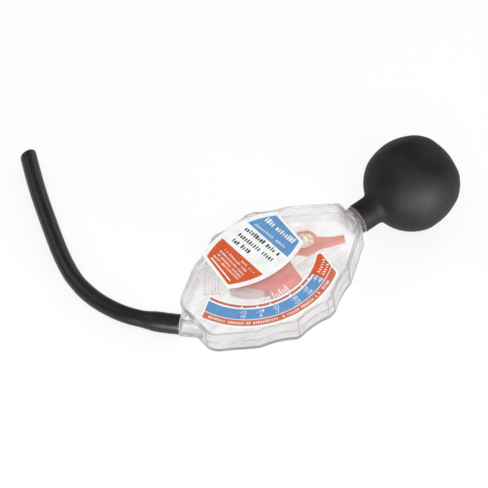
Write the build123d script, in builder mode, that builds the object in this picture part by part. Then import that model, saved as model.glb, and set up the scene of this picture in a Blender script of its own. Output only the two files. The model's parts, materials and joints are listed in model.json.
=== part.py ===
from build123d import *
import os
from math import acos, asin, atan2, cos, degrees, hypot, pi, radians, sin, sqrt, tan

# Dial tester for antifreeze: a clear case in two halves, a float vane on a pin inside it,
# a squeeze bulb on its neck and a suction hose on its inlet.
# Millimetres, +Z up. The tester lies on its back on the plane z = 0 with its bulb towards +Y.
# The bulb is thicker than the case, so the case lies pitched, with its bulb end raised.
# Bearings are degrees clockwise from the bulb end, as seen on the dial.

# Case, seen on its face: two large round sides, straight flanks, a flat end at each end
case_half_width = 33.1
upper_round_radius = 43.0
lower_round_radius = 46.0
side_round_half_span = 26.0
bottom_reach = 45.1
bottom_corner_radius = 8.0
shoulder_half_width = 8.95
shoulder_corner_radius = 3.0
case_thickness = 14.8
face_wall = 1.8
side_wall = 1.8
edge_chamfer = 0.9

# Finger scallops round the edge of the case
scallop_radius = 39.0
scallop_depth = 1.75
upper_scallop_bearing = 28.0
lower_scallop_bearing = 24.3

# Neck under the bulb: a collar, a groove, a ring and the spigot inside the rubber
collar_radius = 6.3
collar_length = 1.4
groove_radius = 5.4
groove_length = 0.8
ring_radius = 6.9
ring_length = 1.2
neck_spigot_radius = 5.0
neck_spigot_length = 10.4
spigot_lead = 0.6
neck_bore_radius = 3.2

# Squeeze bulb
bulb_radius = 22.7
bulb_flat_radius = 6.0
bulb_wall = 2.3
bulb_inside_steps = 9
bulb_neck_radius = 7.15
bulb_neck_length = 10.28
bulb_neck_round = 4.5

# Inlet at the bottom left corner, set at an angle, with a barbed spigot for the hose
inlet_angle = 47.2
inlet_offset = 1.7
inlet_collar_radius = 5.4
inlet_collar_length = 5.2
barb_radius = 3.1
barb_ridge = 0.35
barb_ridge_pitch = 4.2
barb_count = 3
barb_first_share = 0.2
barb_length = 14.0
inlet_bore_radius = 1.8

# Suction hose
hose_radius = 4.0
hose_bore_radius = 2.5
hose_grip_radius = 4.8
hose_grip_taper = 4.0
hose_first_run = 19.7
floor_clearance = 0.05

# Pivot and pin of the vane
pivot_left = 13.5
pivot_down = 1.8
pin_radius = 0.9
pin_grip = 0.9
pivot_boss_radius = 3.0
pivot_boss_height = 1.4

# Float vane: hub, fan with its comb of ticks, lower float and pointer arm
hub_radius = 4.0
web_radius = 8.0
float_thickness = 5.0
arm_thickness = 3.0
fan_radius = 28.0
fan_notch_radius = 18.0
float_radius = 21.0
fan_notch_bearing = 49.0
fan_start_bearing = 69.3
fan_end_bearing = 105.0
float_end_bearing = 156.0
web_end_bearing = 190.0
pocket_rim = 1.6
pocket_depth = 0.8

# Comb of raised ticks near the fan's edge
tick_count = 7
tick_first_bearing = 87.0
tick_bearing_step = 2.7
tick_width = 0.5
tick_height = 0.3
tick_long = 4.4
tick_short = 3.0

# Pointer arm and its counterweight
arm_bearing = 25.5
arm_reach = 44.0
arm_root_half_width = 3.5
arm_tip_half_width = 1.25
arm_shoulder_reach = 36.8
arm_shoulder_half_width = 1.95
weight_reach = 25.8
weight_aside = 2.3
weight_radius = 4.35
weight_thickness = 4.6
weight_seat_wall = 1.35

# Stiffening ribs inside the front half, beside the inlet
rib_count = 6
rib_pitch = 1.35
rib_width = 0.7
rib_length = 15.0
rib_height = 1.1
rib_left = 12.4
rib_down = 25.2
rib_turn = 53.4

# Labels on the face
label_thickness = 0.15
face_label_arc_radius = 41.3
face_label_arc_shift = 24.15
face_label_left = 13.3
face_label_down = 1.1
face_label_half_length = 21.3
face_label_turn = -2.5
scale_inner_radius = 30.1
scale_width = 13.4
scale_top_distance = 26.9
scale_top_bearing = 5.5
scale_end_distance = 8.6
scale_end_bearing = 236.0
scale_tip_round = 2.5

# Clearances
running_clearance = 0.05
seat_clearance = 0.02
end_clearance = 0.25
rubber_clearance = 0.05
overrun = 2.0

# Worked out from the sizes above
half_thickness = case_thickness / 2
cavity_half_depth = half_thickness - face_wall
upper_angle = asin(side_round_half_span / upper_round_radius)
lower_angle = asin(side_round_half_span / lower_round_radius)
upper_end_x = case_half_width - upper_round_radius * (1 - cos(upper_angle))
lower_end_x = case_half_width - lower_round_radius * (1 - cos(lower_angle))
shoulder_reach = side_round_half_span + (upper_end_x - shoulder_half_width) / tan(upper_angle)
bottom_half_width = lower_end_x - (bottom_reach - side_round_half_span) * tan(lower_angle)
neck_end_reach = shoulder_reach + collar_length + groove_length + ring_length
ball_run = sqrt(bulb_radius ** 2 - bulb_neck_radius ** 2)
bulb_reach = neck_end_reach + bulb_neck_length + ball_run
scale_outer_radius = scale_inner_radius + scale_width

# The floor touches the bulb and the lower corner of the case, which sets the pitch
contact_reach = bottom_reach - edge_chamfer
contact_distance = hypot(bulb_reach + contact_reach, half_thickness)
pitch = asin(bulb_radius / contact_distance) - atan2(half_thickness, bulb_reach + contact_reach)
middle_height = bulb_radius - bulb_reach * sin(pitch)

# The origin lies on the floor, midway between the far ends of the bulb and the inlet spigot
inlet_turn = radians(inlet_angle)
spigot_end_reach = bottom_reach + (inlet_collar_length + barb_length) * cos(inlet_turn)
spigot_end_low = spigot_end_reach * cos(pitch)
spigot_rim_low = (barb_radius - barb_ridge) * sqrt(1 - (cos(inlet_turn) * cos(pitch)) ** 2)
bulb_flat_run = sqrt(bulb_radius ** 2 - bulb_flat_radius ** 2)
bulb_far = (bulb_reach + bulb_flat_run) * cos(pitch) + bulb_flat_radius * sin(pitch)
middle_y = (spigot_end_low + spigot_rim_low - bulb_far) / 2

case_plane = Plane(
    origin=(0, middle_y, middle_height), x_dir=(1, 0, 0), z_dir=(0, -sin(pitch), cos(pitch))
)


def on_case(x, y, z=0):
    """A point given in the case's own directions."""
    return case_plane.from_local_coords((x, y, z))


def at_bearing(radius, bearing):
    """A point round the pivot, by radius and bearing."""
    return (radius * sin(radians(bearing)), radius * cos(radians(bearing)))


pivot_plane = Plane(
    origin=on_case(-pivot_left, -pivot_down), x_dir=case_plane.x_dir, z_dir=case_plane.z_dir
)


def bearing_plane(bearing):
    """The dial's plane, with its x axis turned to a bearing."""
    turn = radians(bearing)
    return Plane(
        pivot_plane.origin,
        x_dir=case_plane.x_dir * sin(turn) + case_plane.y_dir * cos(turn),
        z_dir=case_plane.z_dir,
    )


neck_side = Plane(
    origin=on_case(0, shoulder_reach), x_dir=case_plane.y_dir, z_dir=case_plane.z_dir
)
bulb_side = Plane(origin=on_case(0, bulb_reach), x_dir=case_plane.y_dir, z_dir=case_plane.z_dir)
inlet_way = on_case(-sin(inlet_turn), -cos(inlet_turn)) - on_case(0, 0)
inlet_side = Plane(
    origin=on_case(-inlet_offset, -bottom_reach), x_dir=inlet_way, z_dir=case_plane.z_dir
)
neck_bore_plane = Plane(neck_side.origin, x_dir=case_plane.x_dir, z_dir=case_plane.y_dir)
inlet_bore_plane = Plane(inlet_side.origin, x_dir=case_plane.z_dir, z_dir=inlet_way)
neck_axis = Axis(neck_side.origin, case_plane.y_dir)
inlet_axis = Axis(inlet_side.origin, inlet_way)
face_axis = Axis(case_plane.origin, case_plane.z_dir)

# Finger scallops: where the middle of each cutting round lies, on the +X side
scallops = []
for radius, bearing in [
    (upper_round_radius, upper_scallop_bearing),
    (upper_round_radius, 0),
    (lower_round_radius, -lower_scallop_bearing),
]:
    reach = radius - scallop_depth + scallop_radius
    scallop_x = case_half_width - radius + reach * cos(radians(bearing))
    scallops.append((scallop_x, reach * sin(radians(bearing))))

# Outline of the case, with its scalloped grip edge
with BuildSketch() as case_outline:
    with BuildLine():
        upper_side = CenterArc(
            (case_half_width - upper_round_radius, 0), upper_round_radius, 0, degrees(upper_angle)
        )
        lower_side = CenterArc(
            (case_half_width - lower_round_radius, 0), lower_round_radius, 0, -degrees(lower_angle)
        )
        Polyline(upper_side @ 1, (shoulder_half_width, shoulder_reach), (0, shoulder_reach))
        Polyline(lower_side @ 1, (bottom_half_width, -bottom_reach), (0, -bottom_reach))
        mirror(about=Plane.YZ)
    make_face()
    for end, corner_radius in [(-1, shoulder_corner_radius), (0, bottom_corner_radius)]:
        end_corners = case_outline.vertices().group_by(Axis.Y)[end].sort_by(Axis.X)
        fillet([end_corners[0], end_corners[-1]], corner_radius)
    with Locations(*scallops, *[(-x, y) for x, y in scallops]):
        Circle(scallop_radius, mode=Mode.SUBTRACT)

# Outside of the spigots: half profiles turned about their axes
with BuildPart() as case_blank:
    with BuildSketch(case_plane.offset(-half_thickness)):
        add(case_outline.sketch)
    extrude(amount=case_thickness)
    rims = case_blank.faces().sort_by(face_axis)
    chamfer(rims[-1].edges() + rims[0].edges(), edge_chamfer)
    with BuildSketch(neck_side):
        with BuildLine():
            groove_start = collar_length
            ring_start = groove_start + groove_length
            ring_end = ring_start + ring_length
            spigot_end = ring_end + neck_spigot_length
            Polyline(
                (-collar_radius, 0),
                (-collar_radius, collar_radius),
                (groove_start, collar_radius),
                (groove_start, groove_radius),
                (ring_start, groove_radius),
                (ring_start, ring_radius),
                (ring_end, ring_radius),
                (ring_end, neck_spigot_radius),
                (spigot_end - spigot_lead, neck_spigot_radius),
                (spigot_end, neck_spigot_radius - spigot_lead),
                (spigot_end, 0),
                close=True,
            )
        make_face()
    revolve(axis=neck_axis)
    with BuildSketch(inlet_side):
        with BuildLine():
            barb_end = inlet_collar_length + barb_length
            barb_points = [
                (-inlet_collar_radius, 0),
                (-inlet_collar_radius, inlet_collar_radius),
                (inlet_collar_length, inlet_collar_radius),
                (inlet_collar_length, barb_radius - barb_ridge),
            ]
            for ridge in range(barb_count):
                ridge_start = inlet_collar_length + (ridge + barb_first_share) * barb_ridge_pitch
                barb_points.append((ridge_start, barb_radius - barb_ridge))
                barb_points.append((ridge_start, barb_radius + barb_ridge / 2))
            barb_points.append((barb_end, barb_radius - barb_ridge))
            Polyline(*barb_points, (barb_end, 0), close=True)
        make_face()
    revolve(axis=inlet_axis)
    # The cavity follows the outline at an even wall, and both spigots open into it
    with BuildSketch(case_plane.offset(-cavity_half_depth)):
        add(case_outline.sketch)
        offset(amount=-side_wall, kind=Kind.INTERSECTION, mode=Mode.REPLACE)
    extrude(amount=2 * cavity_half_depth, mode=Mode.SUBTRACT)
    with BuildSketch(neck_bore_plane.offset(-side_wall - overrun)):
        Circle(neck_bore_radius)
    extrude(amount=side_wall + spigot_end + 2 * overrun, mode=Mode.SUBTRACT)
    with BuildSketch(inlet_bore_plane.offset(-inlet_collar_radius - overrun)):
        Circle(inlet_bore_radius)
    extrude(amount=inlet_collar_radius + barb_end + 2 * overrun, mode=Mode.SUBTRACT)

# Clear front half, with the boss that holds the front end of the pin
with BuildPart() as front_shell:
    add(case_blank.part)
    split(bisect_by=case_plane, keep=Keep.TOP)
    with BuildSketch(pivot_plane.offset(cavity_half_depth)):
        Circle(pivot_boss_radius)
    extrude(amount=-pivot_boss_height)
    with BuildSketch(pivot_plane.offset(cavity_half_depth - pivot_boss_height)):
        Circle(pin_radius)
    extrude(amount=pivot_boss_height + pin_grip, mode=Mode.SUBTRACT)
    with BuildSketch(case_plane.offset(cavity_half_depth)):
        with Locations(Location((-rib_left, -rib_down), rib_turn)):
            with GridLocations(rib_pitch, 0, rib_count, 1):
                Rectangle(rib_width, rib_length)
    extrude(amount=-rib_height)

# Clear rear half, with the boss for the other end of the pin
with BuildPart() as rear_shell:
    add(case_blank.part)
    split(bisect_by=case_plane, keep=Keep.BOTTOM)
    with BuildSketch(pivot_plane.offset(-cavity_half_depth)):
        Circle(pivot_boss_radius)
    extrude(amount=pivot_boss_height)
    with BuildSketch(pivot_plane.offset(-cavity_half_depth + pivot_boss_height)):
        Circle(pin_radius)
    extrude(amount=-pivot_boss_height - pin_grip, mode=Mode.SUBTRACT)

# Steel pin, held in both halves
pin_half_length = cavity_half_depth + pin_grip - seat_clearance
with BuildPart() as pivot_pin:
    with BuildSketch(pivot_plane.offset(-pin_half_length)):
        Circle(pin_radius - seat_clearance)
    extrude(amount=2 * pin_half_length)
    chamfer(pivot_pin.edges().filter_by(GeomType.CIRCLE), pin_radius / 4)

# Pointer arm: its outline runs along its bearing, x to the tip and y to the left
arm_plane = bearing_plane(arm_bearing)
hub_half_height = cavity_half_depth - pivot_boss_height - end_clearance
with BuildPart() as float_vane:
    with BuildSketch(pivot_plane.offset(-float_thickness / 2)) as fan:
        with BuildLine():
            fan_edge = ThreePointArc(
                at_bearing(fan_radius, fan_start_bearing),
                at_bearing(fan_radius, (fan_start_bearing + fan_end_bearing) / 2),
                at_bearing(fan_radius, fan_end_bearing),
            )
            float_edge = ThreePointArc(
                at_bearing(float_radius, fan_end_bearing),
                at_bearing(float_radius, (fan_end_bearing + float_end_bearing) / 2),
                at_bearing(float_radius, float_end_bearing),
            )
            Line(fan_edge @ 1, float_edge @ 0)
            Polyline(
                float_edge @ 1,
                at_bearing(web_radius, web_end_bearing),
                (0, 0),
                at_bearing(fan_notch_radius, fan_notch_bearing),
                fan_edge @ 0,
            )
        make_face()
        Circle(web_radius)
    extrude(amount=float_thickness)
    # A shallow pocket leaves a raised rim round the fan and the float
    with BuildSketch(pivot_plane.offset(float_thickness / 2)):
        add(fan.sketch)
        offset(amount=-pocket_rim, kind=Kind.INTERSECTION, mode=Mode.REPLACE)
        Circle(web_radius, mode=Mode.SUBTRACT)
    extrude(amount=-pocket_depth, mode=Mode.SUBTRACT)
    with BuildSketch(arm_plane.offset(-arm_thickness / 2)):
        Polygon(
            (0, -arm_root_half_width),
            (arm_reach, -arm_tip_half_width),
            (arm_reach, arm_tip_half_width),
            (arm_shoulder_reach, arm_shoulder_half_width),
            (weight_reach + weight_radius, weight_aside + arm_shoulder_half_width),
            (0, arm_root_half_width),
            align=None,
        )
    extrude(amount=arm_thickness)
    with BuildSketch(arm_plane.offset(-float_thickness / 2)):
        with Locations((weight_reach, weight_aside)):
            Circle(weight_radius + weight_seat_wall)
    extrude(amount=float_thickness)
    with BuildSketch(pivot_plane.offset(-hub_half_height)):
        Circle(hub_radius)
    extrude(amount=2 * hub_half_height)
    # Ticks of the comb, every third one long
    for tick in range(tick_count):
        tick_length = tick_long if tick % 3 == 0 else tick_short
        tick_plane = bearing_plane(tick_first_bearing + tick * tick_bearing_step)
        with BuildSketch(tick_plane.offset(float_thickness / 2 - pocket_depth)):
            with Locations((fan_radius - tick_length / 2, 0)):
                Rectangle(tick_length, tick_width)
        extrude(amount=pocket_depth + tick_height)
    with BuildSketch(arm_plane.offset(-half_thickness)):
        with Locations((weight_reach, weight_aside)):
            Circle(weight_radius + seat_clearance)
        Circle(pin_radius + running_clearance - seat_clearance)
    extrude(amount=case_thickness, mode=Mode.SUBTRACT)

# Brass slug in the arm
with BuildPart() as counterweight:
    with BuildSketch(arm_plane.offset(-weight_thickness / 2)):
        with Locations((weight_reach, weight_aside)):
            Circle(weight_radius)
    extrude(amount=weight_thickness)
    chamfer(counterweight.edges().filter_by(GeomType.CIRCLE), weight_seat_wall / 4)

# Name label: two equal arcs with cut ends
label_plane = case_plane.offset(half_thickness)
with BuildPart() as face_label:
    with BuildSketch(label_plane):
        with Locations(Location((-face_label_left, -face_label_down), face_label_turn)):
            Rectangle(2 * face_label_half_length, 2 * face_label_half_length)
            for way in (-1, 1):
                with Locations((way * face_label_arc_shift, 0)):
                    Circle(face_label_arc_radius, mode=Mode.INTERSECT)
    extrude(amount=label_thickness)

# Scale label: a ring about the pivot, with both ends cut straight at a slant
# Each cut is given by its distance from the pivot and the bearing that it faces
with BuildPart() as scale_label:
    with BuildSketch(pivot_plane.offset(half_thickness)) as scale_shape:
        with BuildLine():
            ring_edges = []
            for radius in (scale_outer_radius, scale_inner_radius):
                first = scale_top_bearing + degrees(acos(scale_top_distance / radius))
                last = scale_end_bearing - degrees(acos(scale_end_distance / radius))
                ring_edges.append(
                    ThreePointArc(
                        at_bearing(radius, first),
                        at_bearing(radius, (first + last) / 2),
                        at_bearing(radius, last),
                    )
                )
            outer_edge, inner_edge = ring_edges
            Line(outer_edge @ 0, inner_edge @ 0)
            Line(outer_edge @ 1, inner_edge @ 1)
        make_face()
        fillet(scale_shape.vertices().sort_by(Axis.Y)[-1], scale_tip_round)
    extrude(amount=label_thickness)

# Hollow rubber bulb, pushed on the neck up to the ring
with BuildPart() as squeeze_bulb:
    with BuildSketch(bulb_side) as bulb_half:
        with BuildLine():
            lip = neck_end_reach - bulb_reach
            bore_radius = neck_spigot_radius + rubber_clearance
            inner_radius = bulb_radius - bulb_wall
            inside_turn = pi - asin(bore_radius / inner_radius)
            inside = [
                (inner_radius * cos(turn), inner_radius * sin(turn))
                for turn in [
                    inside_turn * step / bulb_inside_steps for step in range(bulb_inside_steps + 1)
                ]
            ]
            Polyline((lip, bore_radius), (lip, bulb_neck_radius), (-ball_run, bulb_neck_radius))
            ThreePointArc(
                (-ball_run, bulb_neck_radius), (0, bulb_radius), (bulb_flat_run, bulb_flat_radius)
            )
            Line((bulb_flat_run, bulb_flat_radius), (bulb_flat_run, 0))
            Polyline((bulb_flat_run, 0), *inside, (lip, bore_radius))
        make_face()
        neck_corners = bulb_half.vertices().group_by(Axis.Y)[-2]
        fillet(neck_corners.sort_by(Axis.X)[-1], bulb_neck_round)
    revolve(axis=Axis(bulb_side.origin, case_plane.y_dir))

# Suction hose: its route over the floor, then the stretched grip over the barbs
hose_start = on_case(
    -inlet_offset - inlet_collar_length * sin(inlet_turn),
    -bottom_reach - inlet_collar_length * cos(inlet_turn),
)
hose_level = hose_radius + floor_clearance
hose_route = [
    hose_start,
    hose_start + inlet_way * hose_first_run,
    Vector(-38.0, -91.4, hose_level),
    Vector(-54.9, -93.7, hose_level),
    Vector(-71.2, -90.8, hose_level),
    Vector(-92.3, -83.7, hose_level),
    Vector(-118.0, -74.4, hose_level),
    Vector(-135.1, -66.7, hose_level),
]
hose_runs = [end - start for start, end in zip(hose_route, hose_route[1:])]
run_share = 0.45
hose_bends = [
    run_share * min(before.length, after.length) / tan(radians(before.get_angle(after)) / 2)
    for before, after in zip(hose_runs, hose_runs[1:])
]
print("hose bend radii:", [round(bend, 1) for bend in hose_bends])

with BuildPart() as suction_hose:
    with BuildLine():
        hose_line = FilletPolyline(*hose_route, radius=hose_bends)
    with BuildSketch(Plane(hose_start, z_dir=hose_runs[0])):
        Circle(hose_radius)
    sweep()
    with BuildSketch(Plane(hose_start, x_dir=hose_runs[0], z_dir=case_plane.z_dir)):
        with BuildLine():
            Polyline(
                (0, 0),
                (0, hose_grip_radius),
                (barb_length - overrun, hose_grip_radius),
                (barb_length + hose_grip_taper, hose_radius),
                (barb_length + hose_grip_taper, 0),
                close=True,
            )
        make_face()
    revolve(axis=Axis(hose_start, hose_runs[0]))
    with BuildSketch(Plane(hose_start, z_dir=hose_runs[0])):
        Circle(hose_bore_radius)
    sweep(path=hose_line, mode=Mode.SUBTRACT)
    with BuildSketch(Plane(hose_start, z_dir=inlet_way)):
        Circle(barb_radius + barb_ridge / 2 + rubber_clearance)
    extrude(amount=barb_length + rubber_clearance, mode=Mode.SUBTRACT)

print("hose length:", round(hose_line.length, 1))

os.makedirs("parts", exist_ok=True)
for label, piece in {
    "front_shell": front_shell,
    "rear_shell": rear_shell,
    "pivot_pin": pivot_pin,
    "float_vane": float_vane,
    "counterweight": counterweight,
    "face_label": face_label,
    "scale_label": scale_label,
    "squeeze_bulb": squeeze_bulb,
    "suction_hose": suction_hose,
}.items():
    piece.part.label = label
    export_step(piece.part, f"parts/{label}.step")
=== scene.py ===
import bmesh
import bpy
import json
from math import acos, asin, cos, degrees, pi, radians, sin, sqrt, tan
from mathutils import Matrix, Vector


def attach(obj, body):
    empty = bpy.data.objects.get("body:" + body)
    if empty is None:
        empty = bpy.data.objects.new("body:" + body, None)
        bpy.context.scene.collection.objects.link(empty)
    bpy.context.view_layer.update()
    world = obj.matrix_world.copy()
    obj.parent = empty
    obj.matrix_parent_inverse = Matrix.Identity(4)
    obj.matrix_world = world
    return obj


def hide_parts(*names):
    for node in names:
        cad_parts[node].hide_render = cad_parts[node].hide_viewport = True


# Lengths in the dictionaries are in millimetres where no note says metres.
# Bearings are degrees clockwise from the bulb end, as seen on the dial.
mm = 0.001
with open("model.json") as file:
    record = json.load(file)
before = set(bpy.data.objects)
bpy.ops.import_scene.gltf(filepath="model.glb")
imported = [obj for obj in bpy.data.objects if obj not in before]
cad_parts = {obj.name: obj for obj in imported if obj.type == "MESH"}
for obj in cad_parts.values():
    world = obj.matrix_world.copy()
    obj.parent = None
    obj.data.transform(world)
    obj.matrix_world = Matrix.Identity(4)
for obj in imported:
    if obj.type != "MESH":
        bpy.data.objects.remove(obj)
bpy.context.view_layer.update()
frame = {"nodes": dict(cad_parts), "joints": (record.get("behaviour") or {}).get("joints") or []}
scene = bpy.context.scene

# The pivot's joint says where the dial is and how far the case is pitched
pivotJoint = frame["joints"][0]
pivotPoint = Vector(pivotJoint["pos_m"])
faceNormal = Vector(pivotJoint["axis"]).normalized()
acrossCase = Vector((1, 0, 0))
alongCase = faceNormal.cross(acrossCase)

caseSizes = {
    "pivotLeft": 13.5,
    "pivotDown": 1.8,
    "halfThickness": 7.4,
    "bottomReach": 45.1,
    "neckEndReach": 49.685,
    "inletOffset": 1.7,
    "inletAngle": 47.2,
    "inletCollar": 5.2,
}


def onDial(x, y, z=0.0):
    return pivotPoint + (acrossCase * x + alongCase * y + faceNormal * z) * mm


def onCase(x, y, z=0.0):
    return onDial(x + caseSizes["pivotLeft"], y + caseSizes["pivotDown"], z)


def atBearing(radius, bearing):
    turn = radians(bearing)
    return radius * sin(turn), radius * cos(turn)


# helpers for meshes


def finishPiece(name, bm, material, body, smoothAngle=None):
    mesh = bpy.data.meshes.new(name)
    bm.to_mesh(mesh)
    bm.free()
    mesh.materials.append(material)
    if smoothAngle is not None:
        mesh.shade_smooth()
        mesh.set_sharp_from_angle(angle=radians(smoothAngle))
    piece = bpy.data.objects.new(name, mesh)
    scene.collection.objects.link(piece)
    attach(piece, body)
    return piece


def addPlate(bm, outline, low, high, place):
    # a flat plate between two heights over the face, from its outline
    under = [bm.verts.new(place(x, y, low)) for x, y in outline]
    over = [bm.verts.new(place(x, y, high)) for x, y in outline]
    caps = [bm.faces.new(over), bm.faces.new(list(reversed(under)))]
    for near in range(len(outline)):
        far = (near + 1) % len(outline)
        bm.faces.new((under[near], under[far], over[far], over[near]))
    for cap in caps:
        cap.normal_update()
    bmesh.ops.triangulate(bm, faces=caps, ngon_method="EAR_CLIP")
    bmesh.ops.recalc_face_normals(bm, faces=bm.faces[:])


def makePlates(name, outlines, low, high, material, place):
    bm = bmesh.new()
    for outline in outlines:
        addPlate(bm, outline, low, high, place)
    return finishPiece(name, bm, material, "case")


def arcPoints(radius, first, last, step=2.0):
    count = max(2, round(abs(last - first) / step))
    return [atBearing(radius, first + (last - first) * share / count) for share in range(count + 1)]


def arcAbout(centre, radius, first, last, steps=8):
    # points of a small arc about a centre, or the centre alone where it has no radius
    points = []
    for k in range(steps + 1):
        x, y = atBearing(radius, first + (last - first) * k / steps)
        points.append((centre[0] + x, centre[1] + y))
    return points if radius else points[:1]


def ease(share):
    # from 0 to 1 with a soft start and end
    share = min(1.0, max(0.0, share))
    return share * share * (3 - 2 * share)


def plainMesh(holder):
    # a curve, or an object with its modifiers, as a mesh of its own
    bpy.context.view_layer.update()
    graph = bpy.context.evaluated_depsgraph_get()
    return bpy.data.meshes.new_from_object(holder.evaluated_get(graph))


def facePlane(spot, right, up):
    return Matrix.Translation(spot) @ Matrix((right, up, faceNormal)).transposed().to_4x4()


# helpers for materials


def tone(red, green, blue):
    # a colour as seen on a screen, 0 to 255, turned into the shader's own values
    seen = [channel / 255 for channel in (red, green, blue)]
    return tuple(c / 12.92 if c < 0.04045 else ((c + 0.055) / 1.055) ** 2.4 for c in seen)


def newMaterial(name, **values):
    material = bpy.data.materials.new(name)
    material.use_nodes = True
    shader = material.node_tree.nodes["Principled BSDF"]
    for socket, value in values.items():
        shader.inputs[socket.replace("_", " ")].default_value = value
    return material, material.node_tree, shader


def addNode(tree, kind, **values):
    node = tree.nodes.new(kind)
    for key, value in values.items():
        setattr(node, key, value)
    return node


def addMath(tree, operation, first, second):
    node = addNode(tree, "ShaderNodeMath", operation=operation)
    for socket, value in zip(node.inputs, (first, second)):
        if isinstance(value, (int, float)):
            socket.default_value = value
        else:
            tree.links.new(value, socket)
    return node.outputs["Value"]


def addGroup(tree, group, **values):
    node = addNode(tree, "ShaderNodeGroup", node_tree=group)
    for socket, value in values.items():
        node.inputs[socket].default_value = value
    return node


def newTree(name, kind, takes, gives):
    # a node tree with named inputs, their kinds and values, and named outputs
    tree = bpy.data.node_groups.new(name, kind)
    for label, sort, value in takes:
        socket = tree.interface.new_socket(label, in_out="INPUT", socket_type="NodeSocket" + sort)
        if value is not None:
            socket.default_value = value
    for label, sort in gives:
        tree.interface.new_socket(label, in_out="OUTPUT", socket_type="NodeSocket" + sort)
    return tree, addNode(tree, "NodeGroupInput").outputs, addNode(tree, "NodeGroupOutput").inputs


def mottleGroup():
    # slow and fine noise on Object coordinates, for colour and for bump
    scales = (("CloudScale", "Float", 60.0), ("GrainScale", "Float", 900.0))
    noises = (("Cloud", "Float"), ("Grain", "Float"))
    tree, takes, gives = newTree("mottle", "ShaderNodeTree", scales, noises)
    spot = addNode(tree, "ShaderNodeTexCoord")
    for name, _ in noises:
        noise = addNode(tree, "ShaderNodeTexNoise")
        noise.inputs["Detail"].default_value = 3.0
        tree.links.new(spot.outputs["Object"], noise.inputs["Vector"])
        tree.links.new(takes[name + "Scale"], noise.inputs["Scale"])
        tree.links.new(noise.outputs["Fac"], gives[name])
    return tree


def dialPlaceGroup():
    # where a point lies on the dial in millimetres, its distance from the pivot and its bearing
    sockets = (("Place", "Vector"), ("Reach", "Float"), ("Bearing", "Float"))
    tree, _, gives = newTree("dialPlace", "ShaderNodeTree", (), sockets)
    spot = addNode(tree, "ShaderNodeTexCoord")
    place = addNode(tree, "ShaderNodeMapping")
    pitch = asin(-faceNormal.y)
    place.inputs["Scale"].default_value = (1 / mm, 1 / mm, 1 / mm)
    place.inputs["Rotation"].default_value = (-pitch, 0, 0)
    place.inputs["Location"].default_value = Matrix.Rotation(-pitch, 3, "X") @ pivotPoint / -mm
    tree.links.new(spot.outputs["Object"], place.inputs["Vector"])
    tree.links.new(place.outputs["Vector"], gives["Place"])
    split = addNode(tree, "ShaderNodeSeparateXYZ")
    tree.links.new(place.outputs["Vector"], split.inputs["Vector"])
    x, y = split.outputs["X"], split.outputs["Y"]
    squares = addMath(tree, "ADD", addMath(tree, "MULTIPLY", x, x), addMath(tree, "MULTIPLY", y, y))
    tree.links.new(addMath(tree, "SQRT", squares, 0.0), gives["Reach"])
    bearing = addMath(tree, "MULTIPLY", addMath(tree, "ARCTAN2", x, y), 180 / pi)
    tree.links.new(bearing, gives["Bearing"])
    return tree


def streakGroup():
    # noise drawn out into lines: it changes this many times a millimetre each way
    sockets = (("Place", "Vector", None), ("Pace", "Vector", None))
    tree, takes, gives = newTree("streaks", "ShaderNodeTree", sockets, (("Height", "Float"),))
    drawn = addNode(tree, "ShaderNodeVectorMath", operation="MULTIPLY")
    noise = addNode(tree, "ShaderNodeTexNoise")
    noise.inputs["Scale"].default_value = 1.0
    noise.inputs["Detail"].default_value = 2.0
    tree.links.new(takes["Place"], drawn.inputs[0])
    tree.links.new(takes["Pace"], drawn.inputs[1])
    tree.links.new(drawn.outputs["Vector"], noise.inputs["Vector"])
    tree.links.new(noise.outputs["Fac"], gives["Height"])
    return tree


mottle = mottleGroup()
dialPlace = dialPlaceGroup()
streaks = streakGroup()


def addStreaks(tree, pace):
    place = addGroup(tree, dialPlace)
    lines = addGroup(tree, streaks, Pace=pace)
    tree.links.new(place.outputs["Place"], lines.inputs["Place"])
    return lines.outputs["Height"]


def addRamp(tree, source, low, high, spread=(0.35, 0.65)):
    ramp = addNode(tree, "ShaderNodeValToRGB")
    for element, position, color in zip(ramp.color_ramp.elements, spread, (low, high)):
        element.position = position
        element.color = (*color, 1)
    tree.links.new(source, ramp.inputs["Fac"])
    return ramp.outputs["Color"]


def addMix(tree, share, first, second, blend="MIX"):
    # a Mix node takes its colours at sockets 6 and 7 and gives the result at 2
    mix = addNode(tree, "ShaderNodeMix", data_type="RGBA", blend_type=blend)
    if isinstance(share, float):
        mix.inputs[0].default_value = share
    else:
        tree.links.new(share, mix.inputs[0])
    for socket, value in ((mix.inputs[6], first), (mix.inputs[7], second)):
        if isinstance(value, tuple):
            socket.default_value = (*value, 1)
        else:
            tree.links.new(value, socket)
    return mix.outputs[2]


def addDot(tree, source, way):
    # how far a vector goes along a way
    dot = addNode(tree, "ShaderNodeVectorMath", operation="DOT_PRODUCT")
    dot.inputs[1].default_value = way
    tree.links.new(source, dot.inputs[0])
    return dot.outputs["Value"]


def addStep(tree, source, edge, soft):
    # 0 below the edge and 1 above it
    step = addNode(tree, "ShaderNodeMapRange", interpolation_type="SMOOTHSTEP")
    step.inputs["From Min"].default_value = edge - soft
    step.inputs["From Max"].default_value = edge + soft
    tree.links.new(source, step.inputs["Value"])
    return step.outputs["Result"]


def addRange(tree, source, low, high, spread=(0.3, 0.7)):
    # noise that stays mostly inside the spread, taken to the range from low to high
    node = addNode(tree, "ShaderNodeMapRange")
    for name, value in zip(("From Min", "From Max", "To Min", "To Max"), (*spread, low, high)):
        node.inputs[name].default_value = value
    tree.links.new(source, node.inputs["Value"])
    return node.outputs["Result"]


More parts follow.
